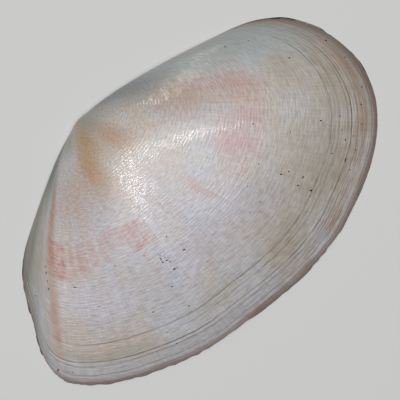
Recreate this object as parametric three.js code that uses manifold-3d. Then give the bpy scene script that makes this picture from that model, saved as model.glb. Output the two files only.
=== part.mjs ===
// Right valve of a laciolina tellin, lying on its rim with its outside up.
// Millimetres. +X runs to the front end, +Y to the hinge, +Z out of the valve.
import * as THREE from 'three';
import { mergeVertices } from 'three/addons/utils/BufferGeometryUtils.js';
import Module from 'manifold-3d';

// Edge of the valve, seen from above, measured from the tip of the beak.
// It starts under the beak and runs by the front, the lower edge and the rear.
const EDGE_POINTS = [
  [0, -1.0], [4, -2.7], [8, -4.7], [13, -6.3], [19, -7.1], [24.5, -8.6], [29.5, -11.3],
  [33.3, -15.2], [35.3, -19.6], [36.0, -24.2], [35.2, -29.2], [32.2, -35.0], [27.1, -39.0],
  [20, -41.7], [12, -43.5], [4, -43.2], [-5, -41.4], [-14, -39.0], [-22, -34.9],
  [-28.5, -30.3], [-32.4, -25.9], [-33.4, -22.4], [-32.2, -18.6], [-29.1, -14.2],
  [-25.4, -9.3], [-20.8, -5.9], [-14, -3.6], [-6, -1.6],
];
const STEPS_PER_POINT = 3;

// Growth: each earlier edge is a smaller copy, tipped up about the hinge axis.
const COIL = 0.5;
const HINGE_AXIS_TURN = 1;
const SMALLEST_EDGE = 0.03;
const SLIGHTLY_OLDER = 0.98;

// Older edges are turned about the beak: towards the hinge along the rear ridge and
// away from it on the front shoulder. Angles are degrees from the rear of the hinge.
const REAR_BEND = { turn: -0.15, from: 6, full: 22, until: 45, none: 85 };
const FRONT_BEND = { turn: 0.09, from: 110, full: 140, until: 168, none: 176 };
const BEND_REACH = 6;
const LONGEST_BEND = 1.6;

// Growth rests: sharp grooves, each at a fraction of the full size.
const GROWTH_RESTS = [
  { size: 0.975, depth: 0.09 }, { size: 0.957, depth: 0.12 }, { size: 0.926, depth: 0.16 },
  { size: 0.905, depth: 0.10 }, { size: 0.866, depth: 0.12 }, { size: 0.837, depth: 0.18 },
  { size: 0.765, depth: 0.10 }, { size: 0.66, depth: 0.10 },
];
const REST_WIDTH = 0.005;
const REST_SIDE = 0.008;
const ROW_RATIO = 0.8;
const FULL_BAND_SPREAD = 22;
const FULL_RIDGE_SPREAD = 12;

// The outside is rolled down at the edge by this height, over this share of the size.
const EDGE_ROLL = { height: 0.3, width: 0.022, from: 0.3, full: 0.8 };

// Two ridges run from the beak to the rear end, with a hollow between them.
const RIDGE_START = 8;
const RIDGE_END = 0.04;
const RIDGES = [
  { angle: 34.5, width: 3.2, height: 0.45 },
  { angle: 27.5, width: 2.6, height: -0.3 },
  { angle: 21.5, width: 2.6, height: 0.3 },
];

// Wall, rim and hinge plate.
const WALL_THICKNESS = 1.15;
const EDGE_THICKNESS = 0.35;
const THICKENING_LENGTH = 6;
const RIM_WIDTH = 0.7;
const PLATE_WIDTH = 2.5;
const PLATE_RECESS = 0.75;
const PLATE_SPAN = [-15, 17];
const PLATE_FADE = 5;
const PLATE_LOWEST = -12;
const PLATE_RISE = 0.35;
const STEEPEST = 1.2;
const STEEPEST_OVER_PLATE = 1.6;
const FIRST_RING = 1.2;
const FIRST_RING_OVER_PLATE = 0.85;
const THIRD_RING = 3.8;
const THINNEST_ROOF = { base: 0.02, slope: 0.03 };
const BOWL_CENTRE = [0, -20];
const LEAN_TO_CENTRE = 0.5;
const BOWL_RINGS = [0.07, 0.12, 0.18, 0.25, 0.33, 0.42, 0.52, 0.62, 0.73, 0.84, 0.93];

// Hinge teeth of a right valve: centre, length, width, direction and free end.
const TEETH = [
  { at: [0.9, -3.0], length: 1.9, width: 0.55, turn: -62, top: 0.15 },
  { at: [-0.55, -3.0], length: 1.8, width: 0.42, turn: -96, top: 0.15 },
  { at: [-1.35, -2.95], length: 1.8, width: 0.42, turn: -112, top: 0.15 },
  { at: [8.8, -6.35], length: 3.2, width: 0.6, turn: -19, top: 0.2 },
  { at: [-10.2, -4.15], length: 3.0, width: 0.6, turn: 11, top: 0.2 },
];
const TOOTH_FOOT = 1.5;
const TOOTH_TAPER = [0.7, 0.45];

const radians = (degrees) => degrees * Math.PI / 180;
const clamp01 = (x) => Math.min(1, Math.max(0, x));
const ease = (x) => clamp01(x) ** 2 * (3 - 2 * clamp01(x));
const bell = (x) => Math.exp(-x * x);
const mix = THREE.MathUtils.lerp;

const wasm = await Module();
wasm.setup();

const hingeAxis = new THREE.Vector2(1, 0).rotateAround(new THREE.Vector2(), radians(HINGE_AXIS_TURN));
const downAxis = new THREE.Vector2(hingeAxis.y, -hingeAxis.x);

// Points of the edge, evenly stepped between the measured ones.
function edgeLoop() {
  const curve = new THREE.CatmullRomCurve3(
    EDGE_POINTS.map(([x, y]) => new THREE.Vector3(x, y, 0)), true, 'centripetal');
  const count = EDGE_POINTS.length * STEPS_PER_POINT;
  return Array.from({ length: count }, (_, i) => curve.getPoint(i / count));
}

// Turn of one bend at an angle, easing in and out at its two ends.
function bendTurn(bend, degrees) {
  const rise = ease((degrees - bend.from) / (bend.full - bend.from));
  const fall = ease((bend.none - degrees) / (bend.none - bend.until));
  return bend.turn * rise * fall;
}

// Point of the bare outside where the edge stood when the valve had the given size.
function grownPoint(edgePoint, size) {
  const along = edgePoint.x * hingeAxis.x + edgePoint.y * hingeAxis.y;
  const down = edgePoint.x * downAxis.x + edgePoint.y * downAxis.y;
  const reach = Math.hypot(along, down);
  const start = Math.atan2(down, -along);
  const degrees = THREE.MathUtils.radToDeg(start);
  const age = -Math.log(size);
  const turn = bendTurn(REAR_BEND, degrees) + bendTurn(FRONT_BEND, degrees);
  const bend = turn * Math.min(1, reach / BEND_REACH);
  const angle = start + bend * LONGEST_BEND * Math.tanh(age / LONGEST_BEND);
  const newAlong = -Math.cos(angle) * reach * size;
  const newDown = Math.sin(angle) * reach * size;
  const tip = COIL * age;
  const flat = hingeAxis.clone().multiplyScalar(newAlong)
    .addScaledVector(downAxis, newDown * Math.cos(tip));
  return new THREE.Vector3(flat.x, flat.y, newDown * Math.sin(tip));
}

// Height of the growth bands above the bare outside, zero at the edge itself.
function bandHeight(size) {
  const cuts = GROWTH_RESTS.map((rest) => rest.depth * bell((size - rest.size) / REST_WIDTH));
  const cut = cuts.reduce((sum, depth) => sum + depth, 0);
  const roll = EDGE_ROLL.height * ease((size - EDGE_ROLL.from) / (EDGE_ROLL.full - EDGE_ROLL.from));
  return (roll - cut) * ease((1 - size) / EDGE_ROLL.width);
}

// Distance of the beak from the line of the edge: small where old edges run together.
function edgeSpread(edgePoint, tangent) {
  return (edgePoint.y * tangent.x - edgePoint.x * tangent.y) / tangent.length();
}

// Height of the rear ridges, which grow with the valve and end at its edge.
function ridgeHeight(edgePoint, size) {
  const down = edgePoint.x * downAxis.x + edgePoint.y * downAxis.y;
  const along = edgePoint.x * hingeAxis.x + edgePoint.y * hingeAxis.y;
  if (Math.hypot(along, down) < RIDGE_START) return 0;
  const angle = THREE.MathUtils.radToDeg(Math.atan2(down, -along));
  const sum = RIDGES.reduce((h, r) => h + r.height * bell((angle - r.angle) / r.width), 0);
  return sum * size * ease((1 - size) / RIDGE_END);
}

// Bare outside of the valve as rows of points, from the edge up to the beak.
function bareRows(loop, sizes) {
  return sizes.map((size) => loop.map((edgePoint) => grownPoint(edgePoint, size)));
}

// The same rows with the growth bands and the rear ridges raised on them.
function outsideRows(loop, sizes) {
  const count = loop.length;
  return sizes.map((size) => loop.map((edgePoint, i) => {
    const point = grownPoint(edgePoint, size);
    if (size === 1) return point;
    const tangent = new THREE.Vector3().subVectors(loop[(i + 1) % count], loop[(i + count - 1) % count]);
    const next = grownPoint(loop[(i + 1) % count], size);
    const before = grownPoint(loop[(i + count - 1) % count], size);
    const older = grownPoint(edgePoint, size * SLIGHTLY_OLDER);
    const inward = new THREE.Vector3().subVectors(next, before)
      .cross(new THREE.Vector3().subVectors(older, point)).normalize();
    const spread = edgeSpread(edgePoint, tangent);
    const bands = bandHeight(size) * ease(spread / FULL_BAND_SPREAD);
    const ridges = ridgeHeight(edgePoint, size) * ease(spread / FULL_RIDGE_SPREAD);
    return point.addScaledVector(inward, -bands - ridges);
  }));
}

// Sizes of the edge at which the outside has a row of points.
function rowSizes() {
  const sizes = [1, 1 - EDGE_ROLL.width / 2];
  GROWTH_RESTS.forEach(({ size }) => sizes.push(size + REST_SIDE, size, size - REST_SIDE));
  let size = GROWTH_RESTS.at(-1).size;
  while (size * ROW_RATIO > SMALLEST_EDGE) {
    size *= ROW_RATIO;
    sizes.push(size);
  }
  sizes.push(SMALLEST_EDGE);
  return sizes;
}

// Height of the outside above a point on the ground.
function heightAbove(rows, x, y) {
  let best = 0;
  const test = (a, b, c) => {
    const area = (b.x - a.x) * (c.y - a.y) - (c.x - a.x) * (b.y - a.y);
    if (Math.abs(area) < 1e-9) return;
    const v = ((x - a.x) * (c.y - a.y) - (c.x - a.x) * (y - a.y)) / area;
    const w = ((b.x - a.x) * (y - a.y) - (x - a.x) * (b.y - a.y)) / area;
    if (v < 0 || w < 0 || v + w > 1) return;
    best = Math.max(best, a.z + v * (b.z - a.z) + w * (c.z - a.z));
  };
  for (let r = 0; r + 1 < rows.length; r += 1) {
    const count = rows[r].length;
    for (let i = 0; i < count; i += 1) {
      const j = (i + 1) % count;
      test(rows[r][i], rows[r][j], rows[r + 1][i]);
      test(rows[r][j], rows[r + 1][j], rows[r + 1][i]);
    }
  }
  return best;
}

// Share of the hinge plate at an edge point: one under the beak, none past its ends.
function plateShare(edgePoint) {
  if (edgePoint.y < PLATE_LOWEST) return 0;
  const front = ease((PLATE_SPAN[1] + PLATE_FADE - edgePoint.x) / PLATE_FADE);
  const rear = ease((edgePoint.x - PLATE_SPAN[0] + PLATE_FADE) / PLATE_FADE);
  return front * rear;
}

// Height of the inside at a distance from the edge: the outside less the wall.
function roofHeight(bare, point, distance) {
  const grown = 1 - Math.exp(-distance / THICKENING_LENGTH);
  const wall = mix(EDGE_THICKNESS, WALL_THICKNESS, grown);
  const lowest = THINNEST_ROOF.base + THINNEST_ROOF.slope * distance;
  return Math.max(heightAbove(bare, point.x, point.y) - wall, lowest);
}

// One line of the inside, from the rim over the hinge plate to the middle of the bowl.
function insideColumn(bare, edgePoint, inward, middle) {
  const share = plateShare(edgePoint);
  const place = (distance, rise) => {
    const point = edgePoint.clone().addScaledVector(inward, distance);
    const roof = roofHeight(bare, point, distance);
    const free = Math.min(roof, distance * STEEPEST);
    return point.setZ(mix(free, PLATE_RECESS + rise * roof, share));
  };
  const rim = edgePoint.clone().addScaledVector(inward, RIM_WIDTH);
  const nearRim = place(mix(FIRST_RING, FIRST_RING_OVER_PLATE, share), 0);
  const plateEdge = place(PLATE_WIDTH, 0);
  const wallFoot = place(mix(THIRD_RING, PLATE_WIDTH + PLATE_RISE, share), PLATE_RISE);
  const slope = mix(STEEPEST, STEEPEST_OVER_PLATE, share);
  const bowl = BOWL_RINGS.map((f) => {
    const point = wallFoot.clone().setZ(0).lerp(middle, f);
    const distance = Math.hypot(point.x - edgePoint.x, point.y - edgePoint.y);
    const wall = slope * (distance - share * PLATE_WIDTH) + share * PLATE_RECESS;
    return point.setZ(Math.min(roofHeight(bare, point, distance), wall));
  });
  return [rim, nearRim, plateEdge, wallFoot, ...bowl];
}

// Inside of the valve as rows of points, from the rim to the middle of the bowl.
function insideRows(loop, bare) {
  const count = loop.length;
  const middle = new THREE.Vector3(BOWL_CENTRE[0], BOWL_CENTRE[1], 0);
  const columns = loop.map((edgePoint, i) => {
    const run = new THREE.Vector3().subVectors(loop[(i + 1) % count], loop[(i + count - 1) % count]);
    const square = new THREE.Vector3(run.y, -run.x, 0).normalize();
    const toMiddle = new THREE.Vector3().subVectors(middle, edgePoint).normalize();
    return insideColumn(bare, edgePoint, square.lerp(toMiddle, LEAN_TO_CENTRE).normalize(), middle);
  });
  return columns[0].map((_, r) => columns.map((column) => column[r]));
}

// Closed skin through all the rows, ended by one point at each end.
function skin(rows, firstEnd, lastEnd) {
  const points = [firstEnd, ...rows.flat(), lastEnd];
  const count = rows[0].length;
  const at = (r, i) => 1 + r * count + (i % count);
  const faces = [];
  for (let i = 0; i < count; i += 1) {
    faces.push(0, at(0, i), at(0, i + 1));
    faces.push(points.length - 1, at(rows.length - 1, i + 1), at(rows.length - 1, i));
    for (let r = 0; r + 1 < rows.length; r += 1) {
      faces.push(at(r, i), at(r + 1, i), at(r + 1, i + 1));
      faces.push(at(r, i), at(r + 1, i + 1), at(r, i + 1));
    }
  }
  const geometry = new THREE.BufferGeometry();
  geometry.setAttribute('position', new THREE.Float32BufferAttribute(
    points.flatMap((p) => [p.x, p.y, p.z]), 3));
  geometry.setIndex(faces);
  return geometry;
}

// One tooth: a small block narrowed at its free end, standing on the hinge plate.
function toothShape({ at, length, width, turn, top }) {
  const height = TOOTH_FOOT - top;
  const geometry = new THREE.BoxGeometry(length, width, height);
  const place = geometry.getAttribute('position');
  for (let i = 0; i < place.count; i += 1) {
    if (place.getZ(i) > 0) continue;
    place.setX(i, place.getX(i) * TOOTH_TAPER[0]);
    place.setY(i, place.getY(i) * TOOTH_TAPER[1]);
  }
  geometry.rotateZ(radians(turn));
  geometry.translate(at[0], at[1], top + height / 2);
  return geometry;
}

function toManifold(geometry) {
  const bare = geometry.clone();
  bare.deleteAttribute('normal');
  bare.deleteAttribute('uv');
  const merged = mergeVertices(bare, 1e-5);
  return new wasm.Manifold(new wasm.Mesh({
    numProp: 3,
    vertProperties: new Float32Array(merged.getAttribute('position').array),
    triVerts: new Uint32Array(merged.getIndex().array),
  }));
}

function toGeometry(solid) {
  const mesh = solid.getMesh();
  const geometry = new THREE.BufferGeometry();
  geometry.setAttribute('position', new THREE.BufferAttribute(mesh.vertProperties, 3));
  geometry.setIndex(new THREE.BufferAttribute(mesh.triVerts, 1));
  geometry.computeVertexNormals();
  return geometry;
}

// Pale shell with a silky outside.
function shellMaterial() {
  return new THREE.MeshStandardMaterial({ color: 0xd9cfc6, roughness: 0.45, metalness: 0 });
}

function rightValve() {
  const loop = edgeLoop();
  const sizes = rowSizes();
  const outside = outsideRows(loop, sizes);
  const bare = bareRows(loop, sizes);
  const inside = insideRows(loop, bare);
  const last = outside.at(-1);
  const beakTop = last.reduce((sum, p) => sum.add(p), new THREE.Vector3()).divideScalar(last.length);
  const bowlTop = new THREE.Vector3(BOWL_CENTRE[0], BOWL_CENTRE[1], 0);
  bowlTop.z = heightAbove(bare, bowlTop.x, bowlTop.y) - WALL_THICKNESS;
  const rows = [...inside.reverse(), ...outside];
  let solid = toManifold(skin(rows, bowlTop, beakTop));
  TEETH.forEach((tooth) => { solid = solid.add(toManifold(toothShape(tooth))); });
  const geometry = toGeometry(solid);
  geometry.computeBoundingBox();
  const middle = geometry.boundingBox.getCenter(new THREE.Vector3());
  geometry.translate(-middle.x, -middle.y, 0);
  const mesh = new THREE.Mesh(geometry, shellMaterial());
  mesh.name = 'right_valve';
  return mesh;
}

const tellin = new THREE.Group();
tellin.name = 'laciolina_tellin';
tellin.add(rightValve());

export default tellin;
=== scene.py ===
import math

import bmesh
import bpy
from mathutils import Matrix, Vector, noise
from mathutils.bvhtree import BVHTree


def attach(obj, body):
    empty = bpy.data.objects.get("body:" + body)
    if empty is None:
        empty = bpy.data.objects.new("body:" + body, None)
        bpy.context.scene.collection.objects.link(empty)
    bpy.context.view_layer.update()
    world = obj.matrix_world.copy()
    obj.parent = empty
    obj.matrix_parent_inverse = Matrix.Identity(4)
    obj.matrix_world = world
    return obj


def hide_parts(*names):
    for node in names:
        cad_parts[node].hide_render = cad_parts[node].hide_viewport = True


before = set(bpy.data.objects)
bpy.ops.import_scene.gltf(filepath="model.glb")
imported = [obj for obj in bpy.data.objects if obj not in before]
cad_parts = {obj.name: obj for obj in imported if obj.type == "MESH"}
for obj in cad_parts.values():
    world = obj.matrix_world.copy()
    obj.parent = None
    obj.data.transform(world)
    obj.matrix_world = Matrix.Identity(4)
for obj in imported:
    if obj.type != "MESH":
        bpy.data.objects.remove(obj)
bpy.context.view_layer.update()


# The growth of the valve.
# One half of a laciolina tellin: thin aragonite, laid down at the edge from the beak on.
# Each older edge is a smaller copy of today's edge, tipped up about the hinge. Sizes are
# in millimetres from the tip of the beak until the mesh is finished.
MM = 0.001
BEAK_TIP = Vector((-1.3, 21.68, 0))
EDGE_POINTS = [
    (0, -1.0), (4, -2.7), (8, -4.7), (13, -6.3), (19, -7.1), (24.5, -8.6), (29.5, -11.3),
    (33.3, -15.2), (35.3, -19.6), (36.0, -24.2), (35.2, -29.2), (32.2, -35.0), (27.1, -39.0),
    (20, -41.7), (12, -43.5), (4, -43.2), (-5, -41.4), (-14, -39.0), (-22, -34.9),
    (-28.5, -30.3), (-32.4, -25.9), (-33.4, -22.4), (-32.2, -18.6), (-29.1, -14.2),
    (-25.4, -9.3), (-20.8, -5.9), (-14, -3.6), (-6, -1.6),
]
HINGE_POINTS = {0, 1, 2, 3, 25, 26, 27}
COLUMNS_AT_HINGE = 15
COLUMNS_ELSEWHERE = 9
COIL = 0.5
HINGE_TURN = math.radians(1)
SMALLEST_EDGE = 0.03
REAR_BEND = dict(turn=-0.15, start=6, full=22, until=45, none=85)
FRONT_BEND = dict(turn=0.09, start=110, full=140, until=168, none=176)
BEND_REACH = 6
LONGEST_BEND = 1.6


def clamp(x, low=0.0, high=1.0):
    return max(low, min(high, x))


def ease(x):
    x = clamp(x)
    return x * x * (3 - 2 * x)


def mix(a, b, share):
    return a + (b - a) * share


def bell(x):
    return math.exp(-x * x)


def curve_point(place):
    """Point of the edge; place counts the measured points, and the curve runs through them."""
    count = len(EDGE_POINTS)
    i = int(place) % count
    t = place - int(place)
    a, b, c, d = (Vector(EDGE_POINTS[(i + k) % count]) for k in (-1, 0, 1, 2))
    before, here, after = (math.sqrt((q - p).length) for p, q in ((a, b), (b, c), (c, d)))
    slope_b = ((b - a) / before - (c - a) / (before + here) + (c - b) / here) * here
    slope_c = ((c - b) / here - (d - b) / (here + after) + (d - c) / after) * here
    return (b + slope_b * t + (3 * (c - b) - 2 * slope_b - slope_c) * t ** 2
            + (2 * (b - c) + slope_b + slope_c) * t ** 3)


along_hinge = Vector((math.cos(HINGE_TURN), math.sin(HINGE_TURN)))
from_hinge = Vector((along_hinge.y, -along_hinge.x))


def ray_of(edge_point):
    """Angle of an edge point about the beak, in degrees from the rear."""
    return math.degrees(math.atan2(edge_point.dot(from_hinge), -edge_point.dot(along_hinge)))


def bend_turn(bend, degrees):
    rise = ease((degrees - bend["start"]) / (bend["full"] - bend["start"]))
    fall = ease((bend["none"] - degrees) / (bend["none"] - bend["until"]))
    return bend["turn"] * rise * fall


columns = []
for i in range(len(EDGE_POINTS)):
    steps = COLUMNS_AT_HINGE if i in HINGE_POINTS else COLUMNS_ELSEWHERE
    columns += [i + k / steps for k in range(steps)]
edge = [curve_point(place) for place in columns]
rays = [ray_of(point) for point in edge]
COLUMN_COUNT = len(edge)


def edge_run(i):
    return edge[(i + 1) % COLUMN_COUNT] - edge[i - 1]


# Distance of the beak from the line of the edge: small where old edges run together.
spreads = [(edge[i].y * edge_run(i).x - edge[i].x * edge_run(i).y) / edge_run(i).length
           for i in range(COLUMN_COUNT)]


def grown_point(i, size):
    """Where a point of the edge stood when the valve had the given share of its size."""
    degrees, reach = rays[i], edge[i].length
    age = -math.log(size)
    bend = bend_turn(REAR_BEND, degrees) + bend_turn(FRONT_BEND, degrees)
    bend *= min(1, reach / BEND_REACH)
    angle = math.radians(degrees) + bend * LONGEST_BEND * math.tanh(age / LONGEST_BEND)
    down = math.sin(angle) * reach * size
    flat = along_hinge * (-math.cos(angle) * reach * size)
    flat += from_hinge * (down * math.cos(COIL * age))
    return Vector((flat.x, flat.y, down * math.sin(COIL * age)))


# The outside.
# Fine flat ridges follow every old edge, sharp grooves mark where growth rested, and two
# blunt ridges run to the rear end. The thin edge is ragged and chipped.
STRIAE = 104                # fine ridges, 0.4 mm apart, if they ran from the beak to the edge
ROWS_PER_STRIA = 4
STRIA_PROFILE = (-1.0, 0.15, 0.6, 0.25)
STRIA_HEIGHT = 0.003
STRIAE_START = 0.42
STRIAE_FULL = 0.5
STRIAE_END = 0.997
STRIAE_END_FADE = 0.012
STRIA_STRENGTH = dict(usual=0.5, wide=1.1, fine=0.9, least=0.1, most=1.4)
FAINTER_IN_FRONT = dict(share=0.35, ray=75, ray_fade=35, size=0.55, size_fade=0.1)
SMOOTHER_AT_REAR = dict(share=0.45, ray=95, ray_fade=15, size=0.905, size_fade=0.01)
OLDER_ROWS = 40
GROWTH_RESTS = [
    (0.975, 0.02), (0.957, 0.03), (0.926, 0.03), (0.907, 0.05), (0.868, 0.02), (0.84, 0.04),
    (0.765, 0.01), (0.605, 0.008),
]
FRONT_RESTS = [
    (0.985, 0.02), (0.966, 0.025), (0.942, 0.03), (0.916, 0.02), (0.888, 0.015), (0.853, 0.01),
]
FRONT_RESTS_FROM = 88
FRONT_RESTS_FADE = 15
REST_WIDTH = 0.0028
REST_REACH = 3 * REST_WIDTH
REST_SHARE = dict(usual=0.75, patchy=0.9)
FRONT_REST_SHARE = dict(usual=0.8, patchy=1)
DEEP_REST = 0.045
BAND_HEIGHT = 0.008
BANDS_START = 0.5
BANDS_FADE = 0.35
FULL_BAND_SPREAD = 22
FULL_RIDGE_SPREAD = 12
EDGE_ROLL = dict(height=0.3, width=0.022, start=0.3, full=0.8)
RIDGES = [(34.5, 3.6, 0.25), (27.5, 2.8, -0.18), (21.5, 2.8, 0.2)]
RIDGE_START = 8
RIDGE_END = 0.04
RIDGE_KNOBS = 0.25
REST_PATCHES = (0.06, 90, 3.0)      # patches per degree and per size, and seed
FRONT_REST_PATCHES = (0.08, 90, 5.0)
BAND_PATCHES = (0.012, 34, 1.0)
KNOB_PATCHES = (0.25, 26, 2.0)
WIDE_STRIA_PATCHES = (0.05, 7, 4.0)
FINE_STRIA_PATCHES = (0.01, 75, 6.0)
CHIP_ROWS_FROM = 0.985
RAGGED = 0.26
RAGGED_PER_MM = 1.1
RAGGED_UNTIL = 120
RAGGED_FADE = 12
WORN_BACK = [               # ray, and wear of the edge there in mm; it stands out where this is below 0
    (12, 0), (14, -0.12), (16, -0.2), (19, -0.14), (20.2, -0.02), (21.3, 0), (22.7, -0.18),
    (23.9, -0.08), (25, 0.04), (25.9, -0.08), (26.7, -0.18), (28.2, -0.18), (29.3, 0),
    (31.5, 0.28), (35, 0.15), (40.5, 0.24), (44, 0.08), (48, 0.17), (52, 0.1), (57, 0.17),
    (62, 0.14), (67, 0.3), (72, 0.5), (77, 0.45), (81, 0.05), (85, 0.04), (87, 0.2), (90, 0.06),
    (92, 0), (94.5, 0), (97, 0.26), (102.4, 0.38), (106, 0.26), (112, 0.18), (115, 0.03),
    (118.5, 0.06), (122, 0.22), (130, 0.28), (133, 0.12), (135, 0), (139, -0.2), (141.5, -0.14),
    (143, 0.02), (144.5, 0.06), (146, 0.06), (147.5, -0.02), (149, -0.2), (152, -0.16),
    (155, -0.26), (157, -0.15), (160, 0),
]
CHIPS = [                   # place round the edge in degrees, half length, depth in mm
    (102.4, 0.8, 0.14), (99.5, 0.5, 0.1), (94.8, 0.6, 0.12), (85.5, 0.8, 0.1), (78.0, 0.5, 0.15),
    (73.4, 0.5, 0.1), (54.0, 0.8, 0.1), (47.5, 0.6, 0.08), (38.9, 0.45, 0.34), (36.2, 0.4, 0.1),
    (33.0, 0.5, 0.15), (43.5, 0.5, 0.12), (51.0, 0.5, 0.12), (128.5, 0.6, 0.06), (141.0, 0.6, 0.08),
    (147.5, 0.5, 0.1),
]
CHIP_STEEPNESS = 1.3
LEAST_CHIP_SPREAD = 8
A_LITTLE_OLDER = 0.98
JOIN_WITHIN = 1e-6


def patchy(degrees, size, per_degree, per_size, seed):
    """Smooth noise on the shell, stretched along the rays or along the old edges."""
    return noise.noise(Vector((degrees * per_degree, size * per_size, seed)))


def rests_here(rests, share, patches, degrees, size):
    """Depth of one set of growth rests here, deeper and shallower by patches."""
    return sum(depth * bell((size - at) / REST_WIDTH)
               * (share["usual"] + share["patchy"] * patchy(degrees, at, *patches))
               for at, depth in rests if abs(size - at) < REST_REACH)


def rest_cut(degrees, size):
    """Depth of all growth rests here, in millimetres."""
    cut = rests_here(GROWTH_RESTS, REST_SHARE, REST_PATCHES, degrees, size)
    front = ease((degrees - FRONT_RESTS_FROM) / FRONT_RESTS_FADE)
    if front:
        cut += front * rests_here(FRONT_RESTS, FRONT_REST_SHARE, FRONT_REST_PATCHES, degrees, size)
    return max(0, cut)


def relief(i, size, row):
    """Height of the sculpture above the bare outside, and how deep its groove is."""
    degrees = rays[i]
    wide = ease(spreads[i] / FULL_BAND_SPREAD)
    cut = rest_cut(degrees, size)
    rolled = ease((size - EDGE_ROLL["start"]) / (EDGE_ROLL["full"] - EDGE_ROLL["start"]))
    roll = EDGE_ROLL["height"] * rolled
    bands = BAND_HEIGHT * patchy(degrees, size, *BAND_PATCHES) * ease((size - BANDS_START) / BANDS_FADE)
    height = (roll - cut + bands) * ease((1 - size) / EDGE_ROLL["width"]) * wide
    if edge[i].length > RIDGE_START:
        ridge = sum(tall * bell((degrees - at) / width) for at, width, tall in RIDGES)
        knobs = 1 + RIDGE_KNOBS * patchy(degrees, size, *KNOB_PATCHES)
        ridge *= knobs * size * ease((1 - size) / RIDGE_END)
        height += ridge * ease(spreads[i] / FULL_RIDGE_SPREAD)
    grown = ease((size - STRIAE_START) / (STRIAE_FULL - STRIAE_START))
    grown *= ease((STRIAE_END - size) / STRIAE_END_FADE)
    strength = (STRIA_STRENGTH["usual"]
                + STRIA_STRENGTH["wide"] * patchy(degrees, size, *WIDE_STRIA_PATCHES)
                + STRIA_STRENGTH["fine"] * patchy(degrees, size, *FINE_STRIA_PATCHES))
    strength = clamp(strength, STRIA_STRENGTH["least"], STRIA_STRENGTH["most"])
    front = ease((degrees - FAINTER_IN_FRONT["ray"]) / FAINTER_IN_FRONT["ray_fade"])
    outer = ease((size - FAINTER_IN_FRONT["size"]) / FAINTER_IN_FRONT["size_fade"])
    strength *= mix(1, FAINTER_IN_FRONT["share"], front * outer)
    rear = ease((SMOOTHER_AT_REAR["ray"] - degrees) / SMOOTHER_AT_REAR["ray_fade"])
    outer = ease((size - SMOOTHER_AT_REAR["size"]) / SMOOTHER_AT_REAR["size_fade"])
    smoother = mix(1, SMOOTHER_AT_REAR["share"], outer * rear)
    stria = STRIA_PROFILE[row % ROWS_PER_STRIA] * strength * grown * smoother
    height += STRIA_HEIGHT * stria * ease(spreads[i] / FULL_RIDGE_SPREAD)
    return height, clamp(cut / DEEP_REST)


striae_rows = round((1 - STRIAE_START) * STRIAE * ROWS_PER_STRIA)
row_sizes = [1 - row / (STRIAE * ROWS_PER_STRIA) for row in range(striae_rows)]
row_sizes += [STRIAE_START * (SMALLEST_EDGE / STRIAE_START) ** (k / OLDER_ROWS)
              for k in range(OLDER_ROWS + 1)]
ROWS = len(row_sizes) - 1


def worn_back(degrees):
    """How far the edge is worn back at a ray, between the measured places."""
    for (start, first), (end, last) in zip(WORN_BACK, WORN_BACK[1:]):
        if start <= degrees < end:
            return mix(first, last, ease((degrees - start) / (end - start)))
    return 0


def bite(i):
    """How far the edge is worn or chipped back from the measured line, in millimetres."""
    worn = worn_back(rays[i])
    ragged = RAGGED * noise.noise(Vector((edge[i].x * RAGGED_PER_MM, edge[i].y * RAGGED_PER_MM, 0)))
    ragged *= ease((RAGGED_UNTIL - rays[i]) / RAGGED_FADE)
    chips = sum(depth * ease(CHIP_STEEPNESS * (1 - abs(rays[i] - at) / half)) for at, half, depth in CHIPS
                if abs(rays[i] - at) < half)
    return max(min(worn, 0), worn + ragged) + chips


bites = [bite(i) * ease(spreads[i] / LEAST_CHIP_SPREAD) for i in range(COLUMN_COUNT)]


def size_at(i, row):
    """Size of a row; the outermost rows close up where the edge is chipped."""
    size = row_sizes[row]
    if size < CHIP_ROWS_FROM:
        return size
    outermost = 1 - bites[i] / max(spreads[i], LEAST_CHIP_SPREAD)
    return mix(CHIP_ROWS_FROM, outermost, (size - CHIP_ROWS_FROM) / (1 - CHIP_ROWS_FROM))


def outward(i, size):
    """Direction square to the bare outside, pointing out of the shell."""
    run = grown_point((i + 1) % COLUMN_COUNT, size) - grown_point(i - 1, size)
    back = grown_point(i, size * A_LITTLE_OLDER) - grown_point(i, size)
    return back.cross(run).normalized()


def outside_point(i, row):
    size = size_at(i, row)
    height, groove = relief(i, size, row)
    point = grown_point(i, size) + outward(i, size) * height
    point.z = max(point.z, 0)
    return point, size, groove


valve = bmesh.new()
ray_layer = valve.verts.layers.float.new("ray")
size_layer = valve.verts.layers.float.new("size")
groove_layer = valve.verts.layers.float.new("groove")


def wrapped_grid(rows, place):
    """A grid bent round the valve and closed at its last row; place gives point, size and groove."""
    old = set(valve.verts)
    bmesh.ops.create_grid(valve, x_segments=COLUMN_COUNT, y_segments=rows, size=0.5)
    new = [v for v in valve.verts if v not in old]
    end = []
    for v in new:
        i = round((v.co.x + 0.5) * COLUMN_COUNT) % COLUMN_COUNT
        row = round((v.co.y + 0.5) * rows)
        v.co, v[size_layer], v[groove_layer] = place(i, row)
        v[ray_layer] = rays[i]
        if row == rows:
            end.append(v)
    middle = sum((v.co for v in end), Vector()) / len(end)
    for v in end:
        v.co = middle
    bmesh.ops.remove_doubles(valve, verts=new, dist=JOIN_WITHIN)


wrapped_grid(ROWS, outside_point)


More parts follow.
